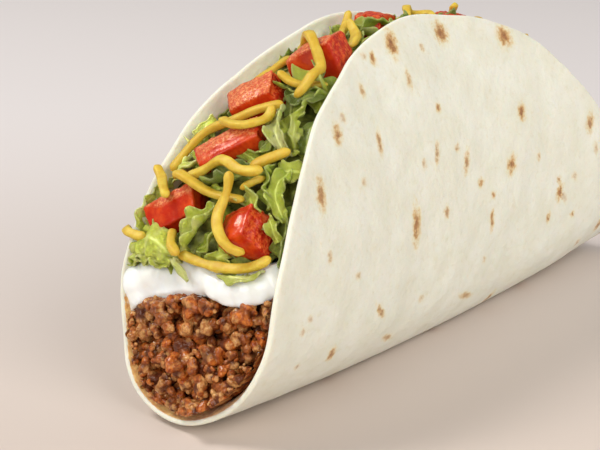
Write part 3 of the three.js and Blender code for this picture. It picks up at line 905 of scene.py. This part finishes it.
def spaced(points, spacing):
    """The points that are left when none may be closer than spacing to one before it."""
    kept = []
    for i, point in enumerate(points):
        if not kept or np.linalg.norm(points[kept] - point, axis=1).min() > spacing:
            kept.append(i)
    return kept


def beef_level(end, places):
    """The height over the fold that the beef reaches in one open end."""
    return front_edge(places) if end == "front" else BACK_LEVEL + BACK_SLOPE * places[:, 1]


def beef_places(end, depth, spacing, seed):
    """Evenly scattered places over the beef in one open end of the taco."""
    rng = np.random.default_rng(seed)
    low, high = BEEF_ANGLES[end]
    degrees, share = rng.uniform(low, high, BEEF_TRIES), rng.uniform(-0.01, 1.04, BEEF_TRIES)
    share = share - BOTTOM_SPREAD * smoothstep(24, 14, 180 - degrees) * smoothstep(0.2, 0.1, share)
    height = depth + rng.normal(0, 0.45, BEEF_TRIES)
    flat = mouth_point(degrees, share, 0 * height)
    below = beef_level(end, flat) - EDGE_MARGIN[end] - flat[:, 2]
    rise = np.maximum(SIDE_RISE * smoothstep(0.78, 1, share) * smoothstep(0, 5, below),
                      BOTTOM_RISE * smoothstep(24, 9, 180 - degrees) * smoothstep(0.5, 0.15, share))
    if end == "front":
        rise = np.maximum(rise, EDGE_CRUMBS * (1 - smoothstep(0, 4, below)))
    places = mouth_point(degrees, share, height + rise)[below > 0]
    return places[spaced(places, spacing)] + SHIFT


def wall_places(end, seed):
    """Places for the grains that stick to the tortilla beside the beef."""
    rng = np.random.default_rng(seed)
    count = WALL_TRIES
    degrees = rng.uniform(*BEEF_ANGLES[end], count)
    on_far = rng.random(count) < FAR_GRAINS
    share = np.where(on_far, rng.uniform(1, 1.07, count), rng.uniform(-0.05, 0, count))
    rise = np.where(share < 0, BOTTOM_RISE * smoothstep(24, 9, 180 - degrees), 0)
    places = mouth_point(degrees, share, rng.uniform(*WALL_GRAIN_HEIGHTS, count) + rise)
    places = places[places[:, 2] < beef_level(end, places) - WALL_GRAIN_MARGIN]
    return places[spaced(places, WALL_GRAIN_SPACING)] + SHIFT


def crumb(directions, radius, rng):
    """A lump of joined granules, seen from its middle, a tone for each granule, and how raised each point
    is, which sets the painted shade in the creases between granules.
    """
    small = radius < CRUMB_RADIUS[0]
    count = rng.integers(*(FEW_GRANULES if small else GRANULES))
    stretch = rng.uniform(*CRUMB_STRETCH, 3)
    middles = unit(rng.normal(size=(count, 3))) * rng.uniform(*GRANULE_PLACES, (count, 1)) * stretch
    sizes = rng.uniform(*GRANULE_SIZES, count) * (1.1 if small else 1)
    along = directions @ middles.T
    inside_square = sizes**2 - (middles**2).sum(1) + along**2
    reach = np.where(inside_square > 0, along + np.sqrt(np.maximum(inside_square, 0)), 0)
    reach = np.concatenate([reach, np.full((len(directions), 1), 0.5)], 1)
    tones = rng.uniform(0, 1, count + 1)
    blended = (np.maximum(reach, 0) ** GRANULE_BLEND).sum(1) ** (1 / GRANULE_BLEND)
    # raised is low in the creases between granules, where the look paints shade
    raised = smoothstep(0.5, 0.9, blended)
    return directions * blended[:, None] * radius * 0.96, tones[reach.argmax(1)], raised


def placed_crumb(place, radii, directions, rng):
    """The points of a crumble at a place, and the tone, lump tone and raisedness at each; the last sets the
    painted shade in its creases.
    """
    radius = rng.uniform(*radii)
    turn = np.linalg.qr(rng.normal(size=(3, 3)))[0]
    shape, tones, raised = crumb(directions, radius, rng)
    turned = shape @ (turn * np.sign(np.linalg.det(turn)))
    rough = sum(height * ripples(shape + place, size, 72) for size, height in CRUMB_ROUGHNESS)
    rough = rough[:, None] * unit(turned) * min(radius / 2, 1)
    return turned + rough + place, tones, np.full(len(shape), rng.uniform()), raised


def crumb_kinds(end):
    """The places, radii and detail of each kind of crumble in one open end."""
    return [
        (beef_places(end, CRUMB_DEPTH, CRUMB_SPACING[end], 73), CRUMB_RADIUS, 4),
        (beef_places(end, FILLER_DEPTH, FILLER_SPACING, 74), CRUMB_RADIUS, 3),
        (beef_places(end, GRAIN_DEPTH, GRAIN_SPACING, 75)[:GRAIN_COUNT], GRAIN_RADIUS, 3),
        (wall_places(end, 76), WALL_GRAIN_RADIUS, 3),
    ]


def beef_core_relief(points):
    open_ends = smoothstep(52, 66, np.abs(points[:, 0]))
    return -0.4 - 3 * open_ends + (0.6 + 0.5 * open_ends) * ripples(points, 2.2, 76)


def build_beef():
    rng = np.random.default_rng(71)
    nets = {detail: icosphere(detail) for detail in (3, 4)}
    parts, values = [], []
    for places, radii, detail in crumb_kinds("front") + crumb_kinds("back"):
        directions, net = nets[detail]
        for place in places:
            points, *value = placed_crumb(place, radii, directions, rng)
            parts.append((points, net))
            values.append(value)
    points, faces = joined(parts)
    points = wall.kept_inside(points, BEEF_CLEARANCE, BEEF_WALL_REACH)
    fields = dict(zip(("tone", "lump", "raised"), map(np.concatenate, zip(*values))))
    look = beef_look()
    finish_piece(mesh_object("beef_crumbles", points, faces, look, fields), "beef")
    mesh = core_of("beef", BEEF_CORE_VOXEL, beef_core_relief)
    # every field zero gives the core the dark crease colour: painted shade in the gaps between the crumbles
    for field in fields:
        set_field(mesh, field, np.zeros(len(mesh.vertices)))
    finish_piece(object_from("beef_core_painted_shade", mesh, look), "beef", "beef")


def beef_look():
    look = Look("beef_mince", Roughness=0.5, Subsurface_Weight=0.08, Subsurface_Scale=1 * MM,
                Specular_IOR_Level=0.4, Specular_Tint=(1, 0.66, 0.36, 1), Coat_Weight=0.42,
                Coat_Roughness=0.06)
    places = look.places()
    grain = look.range(look.noise(places, 0.9, 4, 0.6), 0.34, 0.66)
    brown = look.mix(grain, (112, 50, 17), (174, 96, 43))
    orange = look.mix(grain, (146, 58, 14), (208, 116, 44))
    tan = look.mix(grain, (164, 100, 46), (230, 178, 112))
    blend = look.mix(look.range(look.field("lump"), 0.3, 0.7), brown, orange)
    pale = look.math("ADD", look.times(look.field("tone"), 0.4),
                     look.times(look.noise(places, 2.6, 3), 0.9))
    blend = look.mix(look.range(pale, 0.6, 0.82, 0, 0.8), blend, tan)
    # painted shade: points low in the creases between granules get a dark red-brown
    look.set(Base_Color=look.mix(look.field("raised"), (88, 32, 8), blend))
    look.relief((look.noise(places, 0.35, 4, 0.6), 0.2), (look.cells(places, 0.9), -0.3),
                (look.noise(places, 1.1, 3), 0.3))
    return look.material


# --- lettuce

LEAF_ROWS, LEAF_COLUMNS = 34, 11
LEAF_THICKNESS = 0.34
LEAF_STEP = 0.05  # between the places that a leaf's net is taken from
LEAF_ROLL = 12  # degrees: the spread of how far leaves roll along their length
FRILL_LENGTHS = (3.2, 4.6)
LEAF_APART = 37  # between one leaf's pattern and the next one's
LETTUCE_CORE_VOXEL = 1
EDGE_RAGGEDNESS = (0.24, 0.12)
CRUMPLE = (0.5, 0.2)  # heights of its broad and fine creases
# Seeded leaves: how many, between which degrees round the mouth, and how a way over it is turned
# from millimetres into degrees and shares
SCATTERED_LEAVES, FURTHER_LEAVES = 74, 26
SCATTERED_OVER, FURTHER_OVER = (34, 148), (36, 104)
DEGREES_PER_MM, SHARE_PER_MM = 0.62, 0.03
SHRED_BERTH = 1.7  # how far a leaf stays from the middle of a cheese shred that lies on it
# Leaves that show between the toppings: their route as (degrees, share, height over the mouth),
# width, tilt in degrees, cupping, ruffle and tone from pale to dark
LEAVES = [
    ([(135.5, 0.97, 1.6), (132, 0.98, 3), (128.5, 0.98, 3.2), (124, 0.96, 1.8)], 5.4, -25, 0.1, 0.4, 0.2),
    ([(137, 1, 0.5), (134.8, 0.92, 1.4), (133, 0.82, 1.2), (131.5, 0.72, 0.3)], 3, 20, 0.4, 0.3, 0.15),
    ([(136.5, 1.05, 1.6), (139, 1.06, 3.6), (142, 1.05, 4.4), (145.5, 1.02, 4)], 6, -40, -0.2, 1, 0.25),
    ([(144.7, 1.1, 2.2), (145.5, 0.92, 4), (146.3, 0.75, 4.2), (148, 0.62, 3)], 9, 12, -0.2, 0.5, 0.34),
    ([(148.4, 1.07, 1.8), (147.2, 0.94, 3), (147.4, 0.78, 3.2), (148.8, 0.64, 2.6)], 6.5, 20, 0, 0.7, 0.28),
    ([(149.8, 1.03, 2.6), (148.6, 0.87, 3.2), (148.6, 0.72, 3)], 3.4, 30, 0.2, 0.8, 0.35),
    ([(147.4, 0.66, 3), (149.1, 0.57, 3.3), (150.8, 0.49, 2.8)], 1.4, 0, 0.3, 0.1, 0.05),
    ([(146.9, 0.62, 1), (144.6, 0.57, 2), (142.1, 0.51, 2.2), (139.6, 0.45, 1.2)], 5, 10, 0.9, 0.4, 0.25),
    ([(146, 0.5, 0.8), (144.2, 0.42, 1.6), (142.5, 0.39, 1)], 4.2, 20, 0.2, 0.8, 0.6),
    ([(147.8, 0.46, 1.2), (146.8, 0.35, 1.9), (145.4, 0.29, 1)], 4, -10, 0.2, 0.8, 0.4),
    ([(136.6, 0.62, 1.2), (137.2, 0.52, 2), (136.4, 0.45, 1.2)], 3, 30, 0.3, 0.8, 0.3),
    ([(136.2, 0.31, 1.8), (137.6, 0.23, 3), (139.4, 0.16, 1.8)], 4, -20, 0.3, 0.9, 0.3),
    ([(131, 0.2, 0.6), (134, 0.17, 2.2), (136.5, 0.14, 2), (138.2, 0.12, 1)], 4.2, -35, 0.3, 0.8, 0.7),
    ([(132, 0.06, 1), (134.6, 0.08, 2.5), (137, 0.07, 2.3), (139.5, 0.02, 0.8)], 4.4, 25, 0.3, 1, 0.55),
    ([(139.6, 0.1, 1.4), (140.8, 0.06, 2.2), (142.6, 0.03, 1)], 3, 0, 0.2, 0.9, 0.35),
    ([(137, 0.03, 0.2), (141.5, 0.01, 0.8), (146, 0, 0.2)], 5, -10, 0, 0.3, 0.95),
    ([(148.4, 0.31, 2.2), (148.9, 0.21, 3.2), (148.6, 0.12, 3.2), (147.4, 0.05, 2.4)],
     4, 20, 0.1, 0.4, 0.15),
    ([(119.5, 0.37, 1.2), (118.8, 0.25, 2.2), (118, 0.12, 2), (117, 0.04, 1)], 7, 20, -0.3, 0.6, 1),
    ([(122.6, 0.27, 2), (125, 0.24, 2.8), (127.4, 0.2, 2.6), (129.5, 0.13, 1.4)], 4.8, 0, 0.9, 0.2, 0.08),
    ([(121.6, 0.13, 1.8), (124, 0.14, 2.6), (126.5, 0.1, 2.2), (128.8, 0.07, 1.2)], 2.8, 60, 0.2, 0.9, 0.3),
    ([(122, 0.03, 0.4), (125, 0.03, 0.8), (128, 0.03, 0.4)], 5, 10, 0.1, 0.5, 1),
    ([(130.5, 0.32, 1), (128.6, 0.26, 1.6), (127, 0.27, 1)], 4, 10, 0.2, 0.8, 0.8),
    ([(123, 1.04, 0.6), (119.5, 1.08, 1.4), (116, 1.06, 1.3), (112, 1, 0.5)], 4.6, -65, 0.1, 0.4, 0.8),
    ([(103.5, 0.62, 1), (100, 0.68, 2), (97.5, 0.76, 1.4)], 4.5, 0, -0.2, 0.6, 0.55),
    ([(136, 1.02, 1), (137.6, 0.96, 2), (139.4, 0.9, 1.4)], 4.2, 0, 0.1, 0.8, 0.25),
]
LEAF_CLEARANCE, LEAF_REACH = 0.4, 5


def leaf_course(route, tilt, rng):
    """The middle line of a leaf along a route, its length, and the ways to its side and face."""
    degrees, share, height = np.array(route, float).T
    line, _ = smooth_line(mouth_point(degrees, share, height) + SHIFT, LEAF_STEP)
    line = line[np.linspace(0, len(line) - 1, LEAF_ROWS).astype(int)]
    length = np.linalg.norm(np.diff(line, axis=0), axis=1).sum()
    t = np.linspace(0, 1, LEAF_ROWS)
    out = outward(np.radians(np.interp(t, np.linspace(0, 1, len(degrees)), degrees)))
    tangents = unit(np.gradient(line, axis=0))
    side = unit(np.cross(tangents, out))
    normal = np.cross(side, tangents)
    roll = np.radians(tilt + rng.normal(0, LEAF_ROLL) * (t - 0.5))[:, None]
    return (line, length, side * np.cos(roll) + normal * np.sin(roll),
            normal * np.cos(roll) - side * np.sin(roll))


def leaf(route, width, tilt, cup, ruffle, rng):
    """A shred of leaf along a route: its points and, for each, where it is along and across it."""
    line, length, side, normal = leaf_course(route, tilt, rng)
    t = np.linspace(0, 1, LEAF_ROWS)
    v = np.linspace(-1, 1, LEAF_COLUMNS)[None, :]
    taper = np.sin(math.pi * (0.1 + 0.8 * t)) ** rng.uniform(0.35, 0.8)
    seeds = rng.integers(1, 1e6, 2)
    steps = np.stack([t * length, 0 * t, 0 * t], -1)
    jagged = 1 + np.stack([EDGE_RAGGEDNESS[0] * ripples(steps, 1.6, seed)
                           + EDGE_RAGGEDNESS[1] * ripples(steps, 0.8, seed + 1) for seed in seeds], -1)
    half = np.where(v < 0, jagged[:, :1], jagged[:, 1:]) * (width / 2 * taper)[:, None]
    waves = rng.uniform(*FRILL_LENGTHS)
    phase = rng.uniform(0, 6, 2)
    turns = 2 * math.pi * length * t[:, None] / waves
    frill = np.where(v < 0, np.sin(turns + phase[0]), np.sin(turns * 0.8 + phase[1]))
    lift = cup * half * (v**2) * 1.1 + ruffle * 1.05 * frill * np.abs(v) ** 1.6
    bend = 1 + 0.5 * abs(cup)
    reach = np.sin(v * bend) / bend if cup else v
    points = (line[:, None] + side[:, None] * (half * reach)[..., None]
              + normal[:, None] * lift[..., None])
    crumple = CRUMPLE[0] * ripples(points, 3.4, 80) + CRUMPLE[1] * ripples(points, 1.5, 81)
    points = points + normal[:, None] * crumple[..., None]
    where = np.stack([np.broadcast_to(t[:, None] * length, half.shape), half * v,
                      np.broadcast_to(v, half.shape)], -1)
    return points.reshape(-1, 3), where.reshape(-1, 3)


def scattered_leaf(rng, low, high):
    """A seeded shred of leaf lying over the mouth between two angles."""
    middle = np.array([rng.uniform(low, high), rng.uniform(0.02, 0.98)])
    way = rng.uniform(0, 2 * math.pi)
    half = rng.uniform(4.5, 10)
    step = half * np.array([math.cos(way) * DEGREES_PER_MM, math.sin(way) * SHARE_PER_MM])
    lift = rng.uniform(0.2, 1.7)
    offsets, heights = (-1, -0.35, 0.35, 1), (-1.6, lift, lift, -1.6)
    route = [(*(middle + step * offset), height) for offset, height in zip(offsets, heights)]
    route = [(degrees, min(max(share, -0.02), 1.03), height) for degrees, share, height in route]
    return (route, rng.uniform(3, 7.5), rng.normal(0, 30), rng.uniform(-0.3, 0.7),
            rng.uniform(0.2, 1), rng.uniform(0.1, 1) ** 0.8)


def shred_tree():
    """The middles of all the cheese shreds, to find the nearest one."""
    lines = [smooth_line(shred_line(node), 0.8, 8)[0] for node in cheese_nodes()]
    line = np.vstack(lines)
    tree = KDTree(len(line))
    for i, point in enumerate(line):
        tree.insert(point.tolist(), i)
    tree.balance()
    return tree


def under_shreds(points, shreds):
    """The points of a leaf, with those in a cheese shred pressed down below it."""
    angle = np.arccos(np.clip(points[:, 0] / TORTILLA_RADIUS, -1, 1))
    out = outward(angle)
    moved = points.copy()
    for i, point in enumerate(points):
        middle, _, distance = shreds.find(point.tolist())
        if distance > SHRED_BERTH * 1.5:
            continue
        offset = point - np.array(middle)
        above = offset @ out[i]
        beside = math.sqrt(max(distance**2 - above**2, 0))
        wanted = -math.sqrt(max(SHRED_BERTH**2 - beside**2, 0))
        if beside < SHRED_BERTH and above > wanted:
            moved[i] += out[i] * (wanted - above)
    return moved


def build_lettuce():
    rng, further = np.random.default_rng(82), np.random.default_rng(85)
    leaves = LEAVES + [scattered_leaf(rng, *SCATTERED_OVER) for _ in range(SCATTERED_LEAVES)]
    leaves += [scattered_leaf(further, *FURTHER_OVER) for _ in range(FURTHER_LEAVES)]
    shreds, net = shred_tree(), grid_faces(LEAF_ROWS, LEAF_COLUMNS)
    parts, places, tones = [], [], []
    for i, (*shape, tone) in enumerate(leaves):
        made, where = leaf(*shape, rng)
        made = wall.kept_inside(made, LEAF_CLEARANCE, LEAF_REACH)
        parts.append((under_shreds(made, shreds), net))
        places.append(where + [[LEAF_APART * i, 0, 0]])
        tones.append(np.full(len(made), tone))
    points, faces = joined(parts)
    where = np.vstack(places)
    fields = {"leaf": where * MM, "across": where[:, 2], "tone": np.concatenate(tones)}
    look = lettuce_look()
    flat = mesh_object("flat_leaves", points, faces, look, fields)
    solidify = flat.modifiers.new("Solidify", "SOLIDIFY")
    solidify.thickness = LEAF_THICKNESS * MM
    solidify.offset = 0
    finish_piece(object_from("lettuce_shreds", taken_mesh(flat), look), "lettuce")
    # a dark olive core under the leaves: painted shade in the gaps between them
    core = core_of("lettuce", LETTUCE_CORE_VOXEL, lettuce_core_relief)
    finish_piece(object_from("lettuce_core", core, lettuce_core_shade_look()), "lettuce", "lettuce")


def lettuce_core_relief(points):
    return -1.6 + 0.9 * ripples(points, 2.6, 83) + 0.4 * ripples(points, 1.1, 84)


def lettuce_look():
    look = Look("lettuce_leaf", Roughness=0.36, Subsurface_Weight=0.3, Subsurface_Scale=1.2 * MM,
                Subsurface_Radius=(0.7, 1, 0.25), Specular_IOR_Level=0.35, Coat_Weight=0.1,
                Coat_Roughness=0.1)
    leaf_place, tone = look.field("leaf", "Vector"), look.field("tone")
    across = look.math("ABSOLUTE", look.field("across"))
    cloud = look.range(look.noise(look.places(), 3.2, 4), 0.3, 0.7, -0.16, 0.16)
    depth = look.math("ADD", tone, cloud)
    pale = look.mix(look.range(depth, 0.0, 0.35), (238, 242, 152), (216, 228, 82))
    green = look.mix(look.range(depth, 0.3, 0.7), pale, (184, 202, 64))
    green = look.mix(look.range(depth, 0.65, 1.0), green, (124, 142, 52))
    bent = look.node("VectorMath", {0: leaf_place, 1: look.node("TexNoise", {
        "Vector": leaf_place, "Scale": 1 / (2 * MM)}, "Color"), 2: (1.4 * MM,) * 3},
        operation="MULTIPLY_ADD")
    veins = look.range(look.cells(bent, 2.1, feature="DISTANCE_TO_EDGE"), 0.0, 0.16, 1, 0)
    rib = look.range(across, 0.0, 0.2, 1, 0)
    lines = look.math("MAXIMUM", look.times(veins, 0.3), look.times(rib, 0.45))
    veined = look.mix(lines, green, (200, 206, 126))
    cut_edge = look.range(across, 0.88, 1.0, 0, 0.35)
    look.set(Base_Color=look.mix(cut_edge, veined, (214, 218, 150)))
    look.relief((look.math("MAXIMUM", veins, rib), 0.12), (look.noise(leaf_place, 1.2, 3), 0.2))
    return look.material


def lettuce_core_shade_look():
    look = Look("lettuce_core_painted_shade", Roughness=0.6, Specular_IOR_Level=0.2)
    places = look.places()
    # dark olive: painted shade between the leaves
    look.set(Base_Color=look.mix(look.range(look.noise(places, 2.5, 4), 0.35, 0.7),
                                 (82, 87, 32), (136, 141, 56)))
    look.relief((look.noise(places, 1.2, 3), 0.3))
    return look.material


# --- stage, light and camera

CAMERA_PLACE = np.array([-258.4, -183.1, 118.4])
CAMERA_FORWARD = np.array([0.7371, 0.6166, -0.2765])
CAMERA_UP = np.array([0.2257, 0.1610, 0.9608])
CAMERA_LENS = 84
FLOOR_RADIUS, FLOOR_CORNERS = 6, 96  # in metres
FLOOR_WAY = (0.767, 0.642, 0)  # away from the camera
FLOOR_SHADE_FADE = (-0.2, 0.3)  # metres along that way over which the floor turns from a darker warm colour near the camera, painted shade before the taco, to a paler grey further off
WORLD_TINT, WORLD_STRENGTH = (0.97, 0.98, 1, 1), 0.27
LIGHT_DISTANCE = 2.2
# Each light's way out from the object, its size, power and tint
LIGHTS = {
    "key": ((-0.35, 0.7, 1), 0.7, 29, (1, 0.99, 0.97)),
    "fill": ((-0.15, -1, 0.66), 1.4, 27.4, (0.99, 1, 0.985)),
    "front": ((-1, -0.25, 0.45), 1.2, 20.5, (0.99, 1, 0.985)),
}


def build_stage():
    turn = np.linspace(0, 2 * math.pi, FLOOR_CORNERS, endpoint=False)
    ring = np.stack([np.cos(turn), np.sin(turn), 0 * turn], -1) * FLOOR_RADIUS / MM
    look = Look("table", Roughness=0.6, Specular_IOR_Level=0.25)
    away = look.node("VectorMath", {0: look.places(), 1: FLOOR_WAY}, "Value",
                     operation="DOT_PRODUCT")
    further = look.range(away, *FLOOR_SHADE_FADE)
    # painted shade: the floor is darker and warmer towards the camera, deepening the shadow before the taco
    look.set(Base_Color=look.mix(further, (207, 190, 177), (226, 218, 215)))
    floor = mesh_object("floor", ring, [list(range(len(ring)))], look.material)


def area_light(name, towards, size, power, tint):
    """A soft square light that shines on the middle of the object from one way."""
    light = bpy.data.lights.new(name, "AREA")
    light.size, light.energy, light.color = size, power, tint
    lamp = in_scene(name, light)
    low, high = CAD_BOUNDS
    way = Vector(towards).normalized()
    lamp.location = (low + high) / 2 + way * LIGHT_DISTANCE
    lamp.rotation_euler = way.to_track_quat("Z", "Y").to_euler()


def build_lights():
    world = bpy.data.worlds.new("studio")
    world.use_nodes = True
    background = world.node_tree.nodes["Background"]
    background.inputs["Color"].default_value = WORLD_TINT
    background.inputs["Strength"].default_value = WORLD_STRENGTH
    bpy.context.scene.world = world
    for name, settings in LIGHTS.items():
        area_light(name, *settings)


def build_camera():
    camera = bpy.data.cameras.new("camera")
    camera.lens = CAMERA_LENS
    rig = in_scene("camera", camera)
    forward = unit(CAMERA_FORWARD)
    right = unit(np.cross(forward, CAMERA_UP))
    up = np.cross(right, forward)
    turn = Matrix(np.stack([right, up, -forward], -1).tolist()).to_4x4()
    rig.matrix_world = Matrix.Translation(Vector((CAMERA_PLACE + SHIFT) * MM)) @ turn
    bpy.context.scene.camera = rig
    bpy.context.scene.view_settings.view_transform = "Standard"


build_tortilla()
build_beef()
build_cream()
build_lettuce()
build_tomatoes()
build_cheese()
build_stage()
build_lights()
build_camera()
